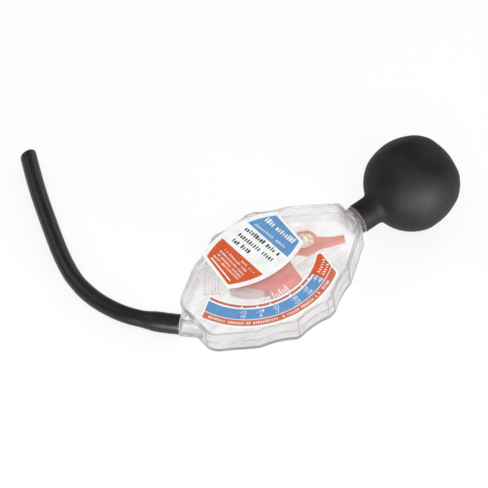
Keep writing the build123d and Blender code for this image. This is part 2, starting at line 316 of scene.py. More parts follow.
def addBump(tree, source, shader, strength, distance):
    bump = addNode(tree, "ShaderNodeBump")
    bump.inputs["Strength"].default_value = strength
    bump.inputs["Distance"].default_value = distance * mm
    tree.links.new(source, bump.inputs["Height"])
    tree.links.new(bump.outputs["Normal"], shader.inputs["Normal"])
    return bump


def mixShaders(tree, share, first, second):
    mix = addNode(tree, "ShaderNodeMixShader")
    for socket, source in zip(mix.inputs, (share, first, second)):
        tree.links.new(source, socket)
    tree.links.new(mix.outputs["Shader"], tree.nodes["Material Output"].inputs["Surface"])


# clear plastic of the case

clearLook = {
    "rough": 0.07,
    "ior": 1.42,
    "clear": 0.9,
    "shadow": (0.95, 0.945, 0.95, 1),
    "cloud": 70.0,
    "hazeSpread": (0.3, 0.6),
    "wave": 0.5,
    "waveDepth": 0.17,
    "wallLines": (0.05, 0.05, 0.7),
    "faceLines": (0.9, 0.06, 0.05),
    "edge": 0.5,
    "edgeSamples": 4,
    # painted shade: the grey of the steep walls and its share, then the neck's painted shade and
    # where it starts
    "wall": (0.73, 0.715, 0.73),
    "wallShare": 0.75,
    "neck": (0.6, 0.58, 0.57),
    "neckStart": 46.5,
    "neckSoft": 3.0,
}
# the two halves: hazy places and clear places; the rear half's hazy places are darker, painted
# shade for the inside of the case
clearTints = {
    "clearFront": ((0.89, 0.88, 0.883), (0.985, 0.98, 0.98)),
    "clearRear": ((0.78, 0.765, 0.768), (0.975, 0.968, 0.968)),
}


def makeClearPlastic(name, haze, tint, s):
    material, tree, shader = newMaterial(
        name, Roughness=s["rough"], IOR=s["ior"], Transmission_Weight=s["clear"]
    )
    height = addGroup(tree, mottle, CloudScale=s["cloud"]).outputs["Cloud"]
    for pace in (s["wallLines"], s["faceLines"]):
        height = addMath(tree, "ADD", height, addStreaks(tree, pace))
    # the three noises average 1.5: low places are hazy
    lowered = addMath(tree, "SUBTRACT", height, 1.0)
    color = addRamp(tree, lowered, haze, tint, s["hazeSpread"])
    # the side walls and the neck are painted greyer: painted shade on the steep walls, and at the
    # neck painted shade for the dark rubber seen through it
    spot = addNode(tree, "ShaderNodeTexCoord")
    flat = addMath(tree, "ABSOLUTE", addDot(tree, spot.outputs["Normal"], faceNormal), 0.0)
    wallShadeMix = addMath(tree, "MULTIPLY", addMath(tree, "SUBTRACT", 1.0, flat), s["wallShare"])
    color = addMix(tree, wallShadeMix, color, s["wall"])
    place = addNode(tree, "ShaderNodeSeparateXYZ")
    tree.links.new(addGroup(tree, dialPlace).outputs["Place"], place.inputs["Vector"])
    neckShadeMix = addStep(tree, place.outputs["Y"], s["neckStart"], s["neckSoft"])
    color = addMix(tree, neckShadeMix, color, s["neck"])
    tree.links.new(color, shader.inputs["Base Color"])
    bump = addBump(tree, height, shader, s["wave"], s["waveDepth"])
    soft = addNode(tree, "ShaderNodeBevel")
    soft.samples = s["edgeSamples"]
    soft.inputs["Radius"].default_value = s["edge"] * mm
    tree.links.new(soft.outputs["Normal"], bump.inputs["Normal"])
    # lamps reach what is inside the case
    ray = addNode(tree, "ShaderNodeLightPath")
    through = addNode(tree, "ShaderNodeBsdfTransparent")
    through.inputs["Color"].default_value = s["shadow"]
    mixShaders(tree, ray.outputs["Is Shadow Ray"], shader.outputs["BSDF"], through.outputs["BSDF"])
    return material


clearPlastics = {
    name: makeClearPlastic(name, haze, tint, clearLook)
    for name, (haze, tint) in clearTints.items()
}


# rubber of the bulb and the hose

rubberMarks = {
    "cloud": 45.0,
    "smearStep": (0.56, 0.1),
    "scratchDepth": 1.4,
    "bumpDepth": 0.12,
}
bulbLook = {
    "deep": (0.0075, 0.0068, 0.0062),
    "wearAndSheen": (0.0145, 0.013, 0.012),
    "dustAndSheenTone": (0.075, 0.067, 0.06),
    "dustShare": 0.45,
    "rough": (0.5, 0.68),
    "gloss": 0.17,
    "grain": 1100.0,
    "bump": 0.25,
    "scratches": (0.1, 1.3, 0.35),
    # the painted highlight: which way it faces from the bulb's centre, where its edge lies and how
    # strong it is
    "sheenWay": (0.948, 0.015, 0.319),
    "sheenReach": (0.87, 0.13),
    "sheenShare": 0.44,
    "smearsLeft": 0.3,
    "centre": (13.5, 83.3, 0.0),
}
hoseLook = {
    "deep": (0.0062, 0.0062, 0.006),
    "wearAndSheen": (0.0112, 0.011, 0.0105),
    "dustAndSheenTone": (0.026, 0.026, 0.025),
    "dustShare": 0.25,
    "rough": (0.3, 0.42),
    "gloss": 0.33,
    "grain": 800.0,
    "bump": 0.15,
    "scratches": (0.15, 0.5, 0.5),
}


def makeRubber(name, s):
    material, tree, shader = newMaterial(name, Specular_IOR_Level=s["gloss"])
    marks = addGroup(tree, mottle, CloudScale=s["cloud"], GrainScale=s["grain"])
    lines = addStreaks(tree, s["scratches"])
    base = addRamp(tree, marks.outputs["Cloud"], s["deep"], s["wearAndSheen"])
    smeared = addStep(tree, marks.outputs["Cloud"], *s["smearStep"])
    dustAndSheenShare = addMath(tree, "MULTIPLY", smeared, s["dustShare"])
    if "sheenWay" in s:
        # a lighter patch in the dust colour on the bulb's lower right side, where its highlight
        # falls: a painted highlight, added to the random dust smears
        away = addNode(tree, "ShaderNodeVectorMath", operation="SUBTRACT")
        away.inputs[1].default_value = s["centre"]
        tree.links.new(addGroup(tree, dialPlace).outputs["Place"], away.inputs[0])
        unit = addNode(tree, "ShaderNodeVectorMath", operation="NORMALIZE")
        tree.links.new(away.outputs["Vector"], unit.inputs[0])
        facing = addDot(tree, unit.outputs["Vector"], s["sheenWay"])
        sheenMask = addStep(tree, facing, *s["sheenReach"])
        wearAndSheen = addMath(tree, "MULTIPLY", sheenMask, s["sheenShare"])
        dustAndSheenShare = addMath(tree, "ADD", addMath(tree, "MULTIPLY", dustAndSheenShare, s["smearsLeft"]), wearAndSheen)
    dustAndSheenColor = addMix(tree, addMath(tree, "MULTIPLY", dustAndSheenShare, lines), base, s["dustAndSheenTone"])
    tree.links.new(dustAndSheenColor, shader.inputs["Base Color"])
    tree.links.new(addRange(tree, marks.outputs["Cloud"], *s["rough"]), shader.inputs["Roughness"])
    scratched = addMath(tree, "MULTIPLY", lines, s["scratchDepth"])
    height = addMath(tree, "ADD", marks.outputs["Grain"], scratched)
    addBump(tree, height, shader, s["bump"], s["bumpDepth"])
    return material


bulbRubber = makeRubber("bulbRubber", {**rubberMarks, **bulbLook})
hoseRubber = makeRubber("hoseRubber", {**rubberMarks, **hoseLook})


# coloured plastic of the float, and the metals

floatLook = {
    # the fan's outer part is lighter, painted light for a facet that catches the lamps; its inner
    # part is darker, partly its own deeper tone and partly painted shade under the label
    "fan": tone(208, 90, 72),
    "fanLitFacet": tone(218, 102, 78),
    "float": tone(198, 170, 168),
    "arm": tone(196, 94, 60),
    "shadeLow": (0.86, 0.84, 0.84),
    "shadeHigh": (1.0, 1.0, 1.0),
    "litFacetStart": (21.8, 0.4),
    "armEnd": (50.0, 0.5),
    "floatStart": (104.5, 0.5),
    "paleWay": (0.6, -0.8, 0.0),
    "paleStart": (17.75, 0.4),
    "clear": 0.12,
    "rough": 0.32,
    "ior": 1.46,
    "cloud": 110.0,
    "grain": 700.0,
    "bump": (0.1, 0.1),
}
weightLook = {
    "dark": tone(205, 170, 120),
    "light": tone(250, 240, 215),
    "speck": tone(150, 95, 70),
    "spread": (0.42, 0.55),
    "speckStep": (0.62, 0.04),
    "metallic": 0.6,
    "rough": 0.38,
    "cloud": 520.0,
    "grain": 1400.0,
    "bump": (0.5, 0.15),
}
pinLook = {
    "dark": (0.5, 0.5, 0.5),
    "light": (0.66, 0.66, 0.67),
    "rough": 0.28,
    "cloud": 400.0,
    "grain": 1800.0,
    "bump": (0.2, 0.05),
}


def makeFloatPlastic(name, s):
    material, tree, shader = newMaterial(
        name, Roughness=s["rough"], IOR=s["ior"], Transmission_Weight=s["clear"]
    )
    marks = addGroup(tree, mottle, CloudScale=s["cloud"], GrainScale=s["grain"])
    place = addGroup(tree, dialPlace)
    reach, bearing = place.outputs["Reach"], place.outputs["Bearing"]
    # lighter beyond the reach where the facet starts: painted light on the fan's outer part
    color = addMix(tree, addStep(tree, reach, *s["litFacetStart"]), s["fan"], s["fanLitFacet"])
    beyond = addStep(tree, addDot(tree, place.outputs["Place"], s["paleWay"]), *s["paleStart"])
    pale = addMath(tree, "MULTIPLY", beyond, addStep(tree, bearing, *s["floatStart"]))
    color = addMix(tree, pale, color, s["float"])
    color = addMix(tree, addStep(tree, bearing, *s["armEnd"]), s["arm"], color)
    shade = addRamp(tree, marks.outputs["Cloud"], s["shadeLow"], s["shadeHigh"])
    color = addMix(tree, 1.0, color, shade, "MULTIPLY")
    tree.links.new(color, shader.inputs["Base Color"])
    addBump(tree, marks.outputs["Grain"], shader, *s["bump"])
    return material


def makeWeightMetal(name, s):
    material, tree, shader = newMaterial(name, Metallic=s["metallic"], Roughness=s["rough"])
    marks = addGroup(tree, mottle, CloudScale=s["cloud"], GrainScale=s["grain"])
    color = addRamp(tree, marks.outputs["Cloud"], s["dark"], s["light"], s["spread"])
    specks = addStep(tree, marks.outputs["Grain"], *s["speckStep"])
    tree.links.new(addMix(tree, specks, color, s["speck"]), shader.inputs["Base Color"])
    addBump(tree, marks.outputs["Cloud"], shader, *s["bump"])
    return material


def makeGrainy(name, s, low, high, **values):
    # a finish that is a little cloudy in colour and has a fine grain
    material, tree, shader = newMaterial(name, Roughness=s["rough"], **values)
    marks = addGroup(tree, mottle, CloudScale=s["cloud"], GrainScale=s["grain"])
    color = addRamp(tree, marks.outputs["Cloud"], low, high)
    tree.links.new(color, shader.inputs["Base Color"])
    addBump(tree, marks.outputs["Grain"], shader, *s["bump"])
    return material


floatPlastic = makeFloatPlastic("floatPlastic", floatLook)
weightBrass = makeWeightMetal("weightBrass", weightLook)
pinSteel = makeGrainy("pinSteel", pinLook, pinLook["dark"], pinLook["light"], Metallic=1.0)


# label film and its inks

inkLook = {
    "filmWhite": tone(246, 248, 246),
    "inkBlue": tone(98, 150, 200),
    "inkOrange": tone(214, 92, 48),
    "inkTerracotta": tone(208, 114, 86),
    "inkBrick": tone(196, 112, 96),
    "inkDark": tone(38, 38, 40),
}
inkFinish = {
    "rough": 0.34,
    "gloss": 0.4,
    "cloud": 220.0,
    "grain": 1500.0,
    "bump": (0.06, 0.05),
    "darker": 0.93,
    "lighter": 1.05,
}


def makeInk(name, color, s):
    low = tuple(channel * s["darker"] for channel in color)
    high = tuple(min(1.0, channel * s["lighter"]) for channel in color)
    return makeGrainy(name, s, low, high, Specular_IOR_Level=s["gloss"])


inks = {name: makeInk(name, color, inkFinish) for name, color in inkLook.items()}
print("materials made")


# CAD nodes that keep their shape

for node, material in {
    "front_shell": clearPlastics["clearFront"],
    "rear_shell": clearPlastics["clearRear"],
    "pivot_pin": pinSteel,
    "float_vane": floatPlastic,
    "counterweight": weightBrass,
}.items():
    slots = frame["nodes"][node].data.materials
    slots.clear()
    slots.append(material)
print("case, pin and float dressed")


# squeeze bulb, turned about the neck's axis

bulbSizes = {
    "radius": 22.7,
    "reach": 81.51,
    "cap": 21.893,
    "neckRadius": 7.15,
    "neckRound": 4.5,
    "boreRadius": 5.05,
    "boreDepth": 11.0,
    "lip": 0.5,
    "capRise": 0.05,
    "capShare": 0.8,
    "lipSteps": 6,
    "roundSteps": 9,
    "ballSteps": 60,
    "segments": 128,
    "smoothAngle": 40,
    "flats": (
        ((0.058, 0.909, 0.413), 0.75, 0.86),
        ((-0.831, -0.01, 0.557), 0.6, 0.77),
        ((0.854, 0.28, -0.438), 0.55, 0.89),
    ),
}


def bulbProfile(s):
    # half the bulb's section, as distance along its axis and radius: bore, lip, neck, ball, cap
    ball, centre, bend = s["radius"], s["reach"], s["neckRound"]
    start = caseSizes["neckEndReach"]
    points = [(start + s["boreDepth"], 0), (start + s["boreDepth"], s["boreRadius"])]
    points += [(start + s["lip"], s["boreRadius"]), (start, s["boreRadius"] + s["lip"])]
    for step in range(s["lipSteps"], -1, -1):
        turn = pi / 2 * step / s["lipSteps"]
        along = start + s["lip"] * (1 - sin(turn))
        points.append((along, s["neckRadius"] - s["lip"] * (1 - cos(turn))))
    bendHigh = s["neckRadius"] + bend
    bendAt = centre - sqrt((ball + bend) ** 2 - bendHigh**2)
    meet = acos((centre - bendAt) / (ball + bend))
    for step in range(s["roundSteps"] + 1):
        turn = (pi / 2 - meet) * step / s["roundSteps"]
        points.append((bendAt + bend * sin(turn), bendHigh - bend * cos(turn)))
    last = acos(s["cap"] / ball)
    for step in range(1, s["ballSteps"] + 1):
        turn = pi - meet - (pi - meet - last) * step / s["ballSteps"]
        points.append((centre + ball * cos(turn), ball * sin(turn)))
    capEnd = centre + s["cap"] + s["capRise"]
    return points + [(capEnd, ball * sin(last) * s["capShare"]), (capEnd, 0)]


def pressFlats(bm, s):
    # shallow flats from handling: the way each faces in the scene, its depth and its edge's cosine
    centre = onCase(0, s["reach"])
    for vertex in bm.verts:
        fromCentre = vertex.co - centre
        for way, depth, edge in s["flats"]:
            height = fromCentre.dot(Vector(way)) / (s["radius"] * mm)
            vertex.co -= Vector(way) * depth * mm * ease((height - edge) / (1 - edge))


def makeBulb(s):
    bm = bmesh.new()
    rings = []
    turns = [2 * pi * k / s["segments"] for k in range(s["segments"])]
    for along, radius in bulbProfile(s):
        spots = turns if radius else turns[:1]
        rings.append([bm.verts.new(onCase(radius * cos(t), along, radius * sin(t))) for t in spots])
    for near, far in zip(rings, rings[1:]):
        for k in range(s["segments"]):
            m = (k + 1) % s["segments"]
            if len(near) == 1:
                bm.faces.new((near[0], far[k], far[m]))
            elif len(far) == 1:
                bm.faces.new((near[k], near[m], far[0]))
            else:
                bm.faces.new((near[k], near[m], far[m], far[k]))
    pressFlats(bm, s)
    bmesh.ops.recalc_face_normals(bm, faces=bm.faces[:])
    return finishPiece("squeezeBulb", bm, bulbRubber, "case", s["smoothAngle"])


squeezeBulb = makeBulb(bulbSizes)
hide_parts("squeeze_bulb")
print("bulb turned")


# suction hose, laid along its route

hoseSizes = {
    "radius": 4.0,
    "bore": 2.5,
    "gripRadius": 4.8,
    "gripBore": 3.35,
    "gripLength": 10.5,
    "gripTaper": 9.0,
    "pinchAt": 57.9,
    "pinchDepth": 0.12,
    "pinchReach": 5.0,
    "rippleDepth": 0.04,
    "rippleStep": 3.9,
    "rim": 0.15,
    "cutSlant": 0.25,
    "cutReach": 5.0,
    "cutTurn": 2.0,
    "firstRun": 19.7,
    "length": 141.0,
    "lineSteps": 24,
    "segments": 48,
    "smoothAngle": 50,
}
inletTurn = radians(caseSizes["inletAngle"])
inletWay = (acrossCase * -sin(inletTurn) - alongCase * cos(inletTurn)).normalized()
hoseExit = onCase(-caseSizes["inletOffset"], -caseSizes["bottomReach"]) + inletWay * (
    caseSizes["inletCollar"] * mm
)
# the route's points, in metres
hoseRoute = [
    hoseExit,
    hoseExit + inletWay * hoseSizes["firstRun"] * mm,
    Vector((-0.0380, -0.0914, 0.00405)),
    Vector((-0.0549, -0.0937, 0.00405)),
    Vector((-0.0712, -0.0908, 0.00405)),
    Vector((-0.0923, -0.0837, 0.00405)),
    Vector((-0.1180, -0.0744, 0.00405)),
    Vector((-0.1351, -0.0667, 0.00405)),
]


def smoothLine(name, route, steps):
    # the route's NURBS spline, read back as points
    curve = bpy.data.curves.new(name, "CURVE")
    curve.dimensions = "3D"
    spline = curve.splines.new("NURBS")
    spline.points.add(len(route) - 1)
    for point, place in zip(spline.points, route):
        point.co = (*place, 1)
    spline.order_u = 3
    spline.use_endpoint_u = True
    spline.resolution_u = steps
    holder = bpy.data.objects.new(name, curve)
    scene.collection.objects.link(holder)
    mesh = plainMesh(holder)
    line = [vertex.co.copy() for vertex in mesh.vertices]
    bpy.data.objects.remove(holder)
    bpy.data.curves.remove(curve)
    bpy.data.meshes.remove(mesh)
    return line


def hoseRadiusAt(distance, s):
    # wide and rippled over the barbs, then plain, with one shallow pinch
    plain = ease((distance - s["gripLength"]) / s["gripTaper"])
    pinch = max(0.0, 1 - abs(distance - s["pinchAt"]) / s["pinchReach"])
    ripple = s["rippleDepth"] * sin(2 * pi * distance / s["rippleStep"]) * (1 - plain)
    radius = s["gripRadius"] + (s["radius"] - s["gripRadius"]) * plain
    return radius + ripple - s["pinchDepth"] * pinch


def makeHose(line, s):
    bm = bmesh.new()
    away = (line[1] - line[0]).normalized()
    up = away.orthogonal().normalized()
    outer, inner = [], []
    distance = 0.0
    total = sum((b - a).length for a, b in zip(line, line[1:])) / mm
    turns = [2 * pi * m / s["segments"] for m in range(s["segments"])]
    for k, point in enumerate(line):
        way = (line[min(k + 1, len(line) - 1)] - line[max(k - 1, 0)]).normalized()
        up = (away.rotation_difference(way) @ up).normalized()
        side = way.cross(up)
        away = way
        if k:
            distance += (point - line[k - 1]).length / mm
        radius = hoseRadiusAt(distance, s) - max(0.0, s["rim"] - min(distance, total - distance))
        bore = s["gripBore"] if distance < s["gripLength"] + s["gripTaper"] / 2 else s["bore"]
        # the far end is cut a little askew
        slant = s["cutSlant"] * max(0.0, 1 - (total - distance) / s["cutReach"]) ** 2
        across = way.cross(Vector((0, 0, 1)))
        for ring, size in ((outer, radius), (inner, bore)):
            spots = [(up * cos(t) + side * sin(t)) * size for t in turns]
            backs = [slant * (s["cutTurn"] - spot.dot(across)) for spot in spots]
            cut = [point + (spot - way * back) * mm for spot, back in zip(spots, backs)]
            ring.append([bm.verts.new(place) for place in cut])
    loop = outer + list(reversed(inner))
    for near, far in zip(loop, loop[1:] + loop[:1]):
        for m in range(s["segments"]):
            n = (m + 1) % s["segments"]
            bm.faces.new((near[m], near[n], far[n], far[m]))
    bmesh.ops.recalc_face_normals(bm, faces=bm.faces[:])
    hose = finishPiece("suctionHose", bm, hoseRubber, "case", s["smoothAngle"])
    return hose, total


hoseLine = smoothLine("hoseLine", hoseRoute, hoseSizes["lineSteps"])
suctionHose, hoseLength = makeHose(hoseLine, hoseSizes)
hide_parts("suction_hose")
print("hose laid, length in mm:", round(hoseLength, 1))


# rows of short strokes, by Geometry Nodes: the printed rows and the comb

# the widths draw from a seed of their own, and vary more than the heights
widthDraw = {"seedShift": 7, "share": 1.6}


def strokeTree():
    # along a line or round an arc, with gaps, uneven heights and every so many longer
    sockets = (
        ("Count", "Int", 7),
        ("Start", "Vector", (0, 0, 0)),
        ("Offset", "Vector", (0, 0, 0)),
        ("Radius", "Float", 0.0),
        ("First", "Float", 0.0),
        ("Step", "Float", 0.0),
        ("Turn", "Float", 0.0),
        ("Length", "Float", 0.002),
        ("Width", "Float", 0.0005),
        ("Thickness", "Float", 0.00002),
        ("Vary", "Float", 0.0),
        ("Filled", "Float", 1.0),
        ("Every", "Int", 1),
        ("Extra", "Float", 0.0),
        ("Seed", "Int", 1),
        ("Material", "Material", None),
    )
    shape = (("Geometry", "Geometry"),)
    tree, takes, gives = newTree("strokeRow", "GeometryNodeTree", sockets, shape)

    def join(kind, sources, **values):
        # a node, with the links or plain numbers that its inputs take
        node = addNode(tree, kind, **values)
        for name, source in sources.items():
            if isinstance(source, float):
                node.inputs[name].default_value = source
            else:
                tree.links.new(source, node.inputs[name])
        return node.outputs

    def times(first, second):
        return addMath(tree, "MULTIPLY", first, second)

    def plus(first, second):
        return addMath(tree, "ADD", first, second)

    # the points of the row
    line = {"Count": takes["Count"], "Start Location": takes["Start"], "Offset": takes["Offset"]}
    points = join("GeometryNodeMeshLine", line)
    index = join("GeometryNodeInputIndex", {})["Index"]
    angle = plus(times(index, takes["Step"]), takes["First"])
    sides = {
        axis: times(addMath(tree, operation, angle, 0.0), takes["Radius"])
        for axis, operation in (("X", "COSINE"), ("Y", "SINE"))
    }
    reach = join("ShaderNodeCombineXYZ", sides)["Vector"]
    placed = join("GeometryNodeSetPosition", {"Geometry": points["Mesh"], "Offset": reach})

    # one stroke, with its foot on the point
    sizes = {"X": takes["Length"], "Y": takes["Width"], "Z": takes["Thickness"]}
    size = join("ShaderNodeCombineXYZ", sizes)["Vector"]
    stroke = join("GeometryNodeMeshCube", {"Size": size})["Mesh"]
    halves = {"X": times(takes["Length"], 0.5), "Z": times(takes["Thickness"], 0.5)}
    footAt = join("ShaderNodeCombineXYZ", halves)["Vector"]
    footed = join("GeometryNodeTransform", {"Geometry": stroke, "Translation": footAt})

    # which points get one, how long it is and which way it turns
    # Random Value gives its number at output 1 and its yes or no at output 3
    draw = "FunctionNodeRandomValue"
    chances = {"Probability": takes["Filled"], "Seed": takes["Seed"]}
    filled = join(draw, chances, data_type="BOOLEAN")[3]
    uneven = join(draw, {"Seed": takes["Seed"]}, data_type="FLOAT")[1]
    widthSeed = plus(takes["Seed"], widthDraw["seedShift"])
    wider = join(draw, {"Seed": widthSeed}, data_type="FLOAT")[1]
    shorter = times(uneven, takes["Vary"])
    isLong = addMath(tree, "LESS_THAN", addMath(tree, "MODULO", index, takes["Every"]), 0.5)
    longer = times(isLong, takes["Extra"])
    broad = times(addMath(tree, "SUBTRACT", wider, 0.5), takes["Vary"])
    scales = {
        "X": plus(addMath(tree, "SUBTRACT", 1.0, shorter), longer),
        "Y": plus(times(broad, widthDraw["share"]), 1.0),
        "Z": 1.0,
    }
    row = {
        "Points": placed["Geometry"],
        "Selection": filled,
        "Instance": footed["Geometry"],
        "Rotation": join("ShaderNodeCombineXYZ", {"Z": plus(angle, takes["Turn"])})["Vector"],
        "Scale": join("ShaderNodeCombineXYZ", scales)["Vector"],
    }
    placedRow = join("GeometryNodeInstanceOnPoints", row)["Instances"]
    plain = join("GeometryNodeRealizeInstances", {"Geometry": placedRow})["Geometry"]
    painted = {"Geometry": plain, "Material": takes["Material"]}
    paint = join("GeometryNodeSetMaterial", painted)["Geometry"]
    tree.links.new(paint, gives["Geometry"])
    return tree


strokes = strokeTree()


def runTree(tree, values):
    # the tree's result as a plain mesh
    holder = bpy.data.objects.new("treeHolder", bpy.data.meshes.new("treeHolder"))
    scene.collection.objects.link(holder)
    modifier = holder.modifiers.new("tree", "NODES")
    modifier.node_group = tree
    for item in tree.interface.items_tree:
        if item.item_type == "SOCKET" and item.in_out == "INPUT" and item.name in values:
            modifier[item.identifier] = values[item.name]
    mesh = plainMesh(holder)
    holder.modifiers.clear()
    bpy.data.objects.remove(holder)
    return mesh


def finishRows(name, rows, place, material, body):
    # several rows made one piece, laid on its plane
    bm = bmesh.new()
    for values in rows:
        mesh = runTree(strokes, {**values, "Material": material})
        bm.from_mesh(mesh)
        bpy.data.meshes.remove(mesh)
    bmesh.ops.transform(bm, matrix=place, verts=bm.verts[:])
    return finishPiece(name, bm, material, body)


# name label on the face: white film with two colour fields and rows of plain strokes

nameLabel = {
    "left": 13.3,
    "down": 1.1,
    "turn": -2.5,
    "arcRadius": 41.3,
    "arcShift": 24.15,
    "halfLength": 21.3,
    "lowEnd": -20.7,
    "lowSlope": -0.056,
    "border": 2.3,
    "fieldHalfLength": 20.0,
    "fieldLowEnd": -19.3,
    "foot": 0.01,
    "film": 0.15,
    "ink": 0.02,
    "blueEdge": 8.9,
    "orangeEdge": -5.6,
    "rowTurn": 6.8,
    "bar": ((-8.1, -17.2), (-8.1, -17.8), (8.1, -18.2), (8.1, -17.6)),
}
# each row: start and end on the label, height, stroke width, pitch, share filled, unevenness
labelRows = {
    "titleRow": {
        "ink": "filmWhite",
        "rows": [((-11.4, 13.7), (10.7, 16.9), 2.9, 0.85, 1.5, 0.84, 0.4)],
    },
    "subtitleRow": {
        "ink": "filmWhite",
        "rows": [((-10.9, 8.9), (9.6, 12.4), 1.5, 0.42, 1.0, 0.84, 0.45)],
    },
    "nameRows": {
        "ink": "inkDark",
        "rows": [
            ((-11.4, 3.6), (11.0, 7.4), 2.4, 0.8, 1.42, 0.86, 0.45),
            ((-10.6, -0.7), (12.5, 3.3), 2.4, 0.8, 1.42, 0.84, 0.45),
            ((-9.8, -4.7), (2.3, -2.4), 2.4, 0.8, 1.42, 0.9, 0.45),
        ],
    },
    "noteRows": {
        "ink": "filmWhite",
        "rows": [
            ((2.5, -7.9), (12.2, -7.1), 0.95, 0.36, 0.8, 0.84, 0.35),
            ((-8.6, -10.3), (9.4, -9.6), 1.05, 0.38, 0.84, 0.84, 0.35),
            ((-8.5, -12.4), (10.5, -11.6), 1.05, 0.38, 0.84, 0.84, 0.35),
            ((-8.4, -14.4), (10.7, -13.4), 1.05, 0.38, 0.84, 0.84, 0.35),
            ((-8.1, -16.3), (11.1, -14.9), 1.05, 0.38, 0.84, 0.84, 0.35),
        ],
    },
}


def onNameLabel(u, v, z):
    turn = radians(nameLabel["turn"])
    x = u * cos(turn) - v * sin(turn) - nameLabel["left"]
    y = u * sin(turn) + v * cos(turn) - nameLabel["down"]
    return onCase(x, y, caseSizes["halfThickness"] + z)


def nameLabelPlane(z):
    spot = onNameLabel(0, 0, z)
    return facePlane(
        spot,
        (onNameLabel(1, 0, z) - spot).normalized(),
        (onNameLabel(0, 1, z) - spot).normalized(),
    )


def lensOutline(radius, low, high, lowSlope=0.0, highSlope=0.0, steps=24, rounds=8):
    # between two arcs, cut by a lower and an upper line, each with its own slope
    def arcX(v):
        return sqrt(radius * radius - v * v) - nameLabel["arcShift"]

    def cut(level, slope, way):
        # where a sloping line meets the arc, found by going round a few times
        v = level
        for _ in range(rounds):
            v = level + way * arcX(v) * slope
        return v

    right = [cut(low, lowSlope, 1), cut(high, highSlope, 1)]
    left = [cut(low, lowSlope, -1), cut(high, highSlope, -1)]
    rightSide = [right[0] + (right[1] - right[0]) * k / steps for k in range(steps + 1)]
    leftSide = [left[1] + (left[0] - left[1]) * k / steps for k in range(steps + 1)]
    return [(arcX(v), v) for v in rightSide] + [(-arcX(v), v) for v in leftSide]


def straightRow(start, end, height, width, pitch, filled, vary, seed, ink):
    run = Vector(end) - Vector(start)
    way = run.normalized()
    return {
        "Count": int(run.length / pitch),
        "Start": (start[0] * mm, start[1] * mm, 0.0),
        "Offset": (way.x * pitch * mm, way.y * pitch * mm, 0.0),
        "First": Vector((1, 0)).angle_signed(way) * -1,
        "Turn": pi / 2,
        "Length": height * mm,
        "Width": width * mm,
        "Thickness": ink * mm,
        "Filled": filled,
        "Vary": vary,
        "Seed": seed,
    }


def makeNameLabel(s):
    def plate(name, outline, low, high, ink):
        return makePlates(name, [outline], low, high, inks[ink], onNameLabel)

    outline = lensOutline(s["arcRadius"], s["lowEnd"], s["halfLength"], s["lowSlope"])
    film = plate("nameLabelFilm", outline, s["foot"], s["film"], "filmWhite")
    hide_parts("face_label")
    inside = s["arcRadius"] - s["border"]
    slope = tan(radians(s["rowTurn"]))
    top = s["film"] + s["ink"]
    for name, low, high, slopes, ink in (
        ("nameLabelBlue", s["blueEdge"], s["fieldHalfLength"], (slope, 0.0), "inkBlue"),
        ("nameLabelOrange", s["fieldLowEnd"], s["orangeEdge"], (s["lowSlope"], slope), "inkOrange"),
    ):
        plate(name, lensOutline(inside, low, high, *slopes), s["film"], top, ink)
    for count, (name, part) in enumerate(labelRows.items()):
        rows = [
            straightRow(*row, seed=10 * count + k + 1, ink=s["ink"])
            for k, row in enumerate(part["rows"])
        ]
        finishRows(name, rows, nameLabelPlane(top), inks[part["ink"]], "case")
    plate("noteBar", s["bar"], top, top + s["ink"], "filmWhite")


makeNameLabel(nameLabel)
print("name label printed")


# scale label: a ring about the pivot with its bands, marks and numbers

scaleLabel = {
    "inner": 30.1,
    "outer": 43.5,
    "topDistance": 26.9,
    "topBearing": 5.5,
    "endDistance": 10.2,
    "endBearing": 236.0,
    "tipRound": 2.2,
    "edgeRound": 1.0,
    "border": 1.0,
    "foot": 0.01,
    "film": 0.15,
    "ink": 0.02,
    "markBearings": (134, 121.2, 110.2, 92.2, 79.7, 71.1),
    "markFoot": 33.3,
    "markTip": 31.3,
    "markHalfTurn": 1.7,
    "numberBearings": (132.4, 119.2, 107.4, 91.5, 80.1, 67.6),
    "innerNumbers": ("-12", "-18", "-22", "-30", "-37", "-44"),
    "outerNumbers": ("10", "0", "-7", "-23", "-34", "-48"),
    "innerRow": 34.95,
    "outerRow": 37.4,
    "numberHeight": 1.95,
    "numberScale": 1.35,
    "numberBold": 0.02,
    "numberSteps": 3,
    "firstSeed": 31,
}
# inner and outer radius, start and end bearing or None for the label's cut, rounds there, ink
scaleBands = {
    "scaleInnerBand": (31.1, 32.4, 65.0, None, 0.0, 0.0, "inkBrick"),
    "scaleBlueBand": (33.3, 38.85, 65.0, None, 0.0, 0.0, "inkBlue"),
    "scaleEndBlock": (31.1, 38.85, None, 65.0, 1.3, 0.3, "inkOrange"),
    "scaleOuterBand": (39.25, 42.5, None, None, 0.2, 1.2, "inkTerracotta"),
}


def cutBearing(radius, border, corner):
    # where the cut top's rounded corner has its centre, on a circle of this radius
    s = scaleLabel
    return s["topBearing"] + degrees(acos((s["topDistance"] - border - corner) / radius))


def endBearing(radius, border):
    s = scaleLabel
    return s["endBearing"] - degrees(acos((s["endDistance"] - border) / radius))


def ringOutline(inner, outer, start, end, border, innerRound=0.0, outerRound=0.0):
    # start and end are bearings, or None for the label's own cut
    if start is None:
        innerFrom = cutBearing(inner + innerRound, border, innerRound)
        outerFrom = cutBearing(outer - outerRound, border, outerRound)
        top = scaleLabel["topBearing"]
        centre = atBearing(inner + innerRound, innerFrom)
        points = arcAbout(centre, innerRound, innerFrom + 180, top + 360)
        centre = atBearing(outer - outerRound, outerFrom)
        points += arcAbout(centre, outerRound, top, outerFrom)
    else:
        innerFrom = outerFrom = start
        points = [atBearing(inner, start), atBearing(outer, start)]
    innerTo, outerTo = (endBearing(r, border) if end is None else end for r in (inner, outer))
    points += arcPoints(outer, outerFrom, outerTo)[1:]
    points += arcPoints(inner, innerTo, innerFrom)[:-1]
    return list(reversed(points))


def onScaleFace(x, y, z):
    return onDial(x, y, caseSizes["halfThickness"] + z)


